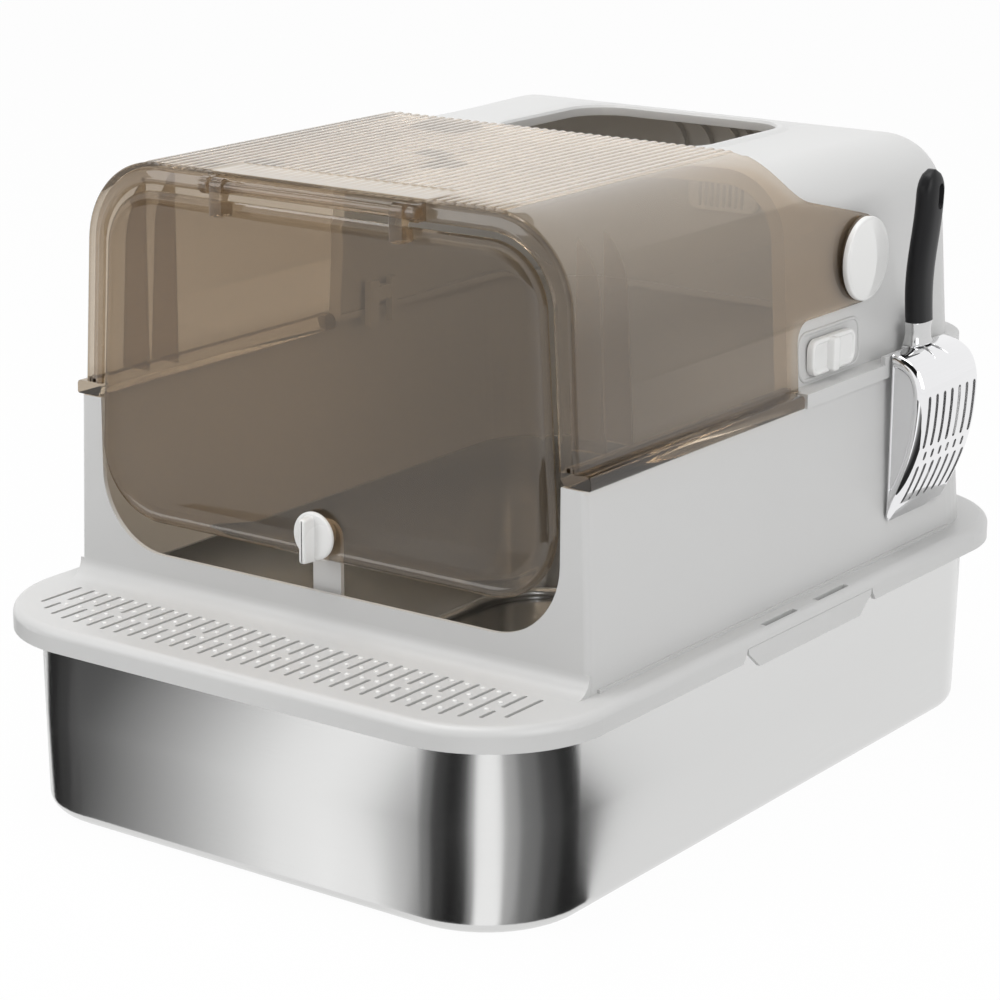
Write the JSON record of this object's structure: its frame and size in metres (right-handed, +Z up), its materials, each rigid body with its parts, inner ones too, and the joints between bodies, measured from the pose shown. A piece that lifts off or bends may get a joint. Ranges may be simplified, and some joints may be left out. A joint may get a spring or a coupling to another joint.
{
  "type": "enclosed litter box",
  "caption": "Enclosed cat litter box: steel pan, moulded frame with slotted step, rear hood, clear flip hood, hanging door and side scoop.",
  "frame": {"origin": "centre of the box's footprint, on the plane the pan stands on", "axes": "+X right seen from the door, -Y towards the door, +Z up"},
  "size_m": [0.4277, 0.6, 0.401],
  "materials": {
    "steel": "satin",
    "grey_plastic": "satin moulded",
    "smoked_clear": "clear smoked plastic",
    "white_plastic": "gloss",
    "screw_steel": "plain",
    "scoop_chrome": "polished",
    "collar_plastic": "polished",
    "black_grip": "satin"
  },
  "bodies": {
    "pan": {"steel_pan": "steel"},
    "frame": {"base_frame": "grey_plastic", "rear_hood": "grey_plastic"},
    "hood": {"front_hood": "smoked_clear", "hinge_rod": "smoked_clear"},
    "door": {"door_flap": "smoked_clear"},
    "door_latch": {"door_knob": "white_plastic", "latch_cam": "white_plastic", "cam_screw": "screw_steel"},
    "left_knob": {"side_knob_left": "white_plastic", "pivot_nut_left": "white_plastic"},
    "right_knob": {"side_knob_right": "white_plastic", "pivot_nut_right": "white_plastic"},
    "left_lock": {"slide_lock_left": "white_plastic", "lock_carriage_left": "grey_plastic"},
    "right_lock": {"slide_lock_right": "white_plastic", "lock_carriage_right": "grey_plastic"},
    "left_clip": {"side_clip_left": "grey_plastic"},
    "right_clip": {"side_clip_right": "grey_plastic"},
    "scoop": {"scoop_blade": "scoop_chrome", "scoop_collar": "collar_plastic", "scoop_grip": "black_grip"}
  },
  "joints": [
    {"name": "frame_lift", "type": "slide", "parent": "pan", "child": "frame", "axis": [0, 0, 1], "range_m": [0, 0.15]},
    {"name": "hood_flip", "type": "hinge", "parent": "frame", "child": "hood", "pos_m": [0, 0.108, 0.328], "axis": [-1, 0, 0], "range_deg": [0, 65]},
    {"name": "door_swing", "type": "hinge", "parent": "hood", "child": "door", "pos_m": [0, -0.21625, 0.39295], "axis": [-1, 0, 0], "range_deg": [0, 90]},
    {"name": "latch_turn", "type": "hinge", "parent": "door", "child": "door_latch", "pos_m": [0, -0.21, 0.192], "axis": [0, -1, 0], "range_deg": [0, 90]},
    {"name": "left_knob_turn", "type": "hinge", "parent": "frame", "child": "left_knob", "pos_m": [-0.18, 0.108, 0.328], "axis": [-1, 0, 0], "range_deg": [0, 90]},
    {"name": "right_knob_turn", "type": "hinge", "parent": "frame", "child": "right_knob", "pos_m": [0.18, 0.108, 0.328], "axis": [1, 0, 0], "range_deg": [0, 90]},
    {"name": "left_lock_slide", "type": "slide", "parent": "frame", "child": "left_lock", "axis": [0, 1, 0], "range_m": [0, 0.01]},
    {"name": "right_lock_slide", "type": "slide", "parent": "frame", "child": "right_lock", "axis": [0, 1, 0], "range_m": [0, 0.01]},
    {"name": "left_clip_flex", "type": "hinge", "parent": "frame", "child": "left_clip", "pos_m": [-0.21, 0.008, 0.1242], "axis": [0, 1, 0], "range_deg": [0, 10], "stiffness_Nm_per_rad": 0.4},
    {"name": "right_clip_flex", "type": "hinge", "parent": "frame", "child": "right_clip", "pos_m": [0.21, 0.008, 0.1242], "axis": [0, -1, 0], "range_deg": [0, 10], "stiffness_Nm_per_rad": 0.4},
    {"name": "scoop_lift", "type": "slide", "parent": "frame", "child": "scoop", "axis": [0, 0, 1], "range_m": [0, 0.12]}
  ]
}
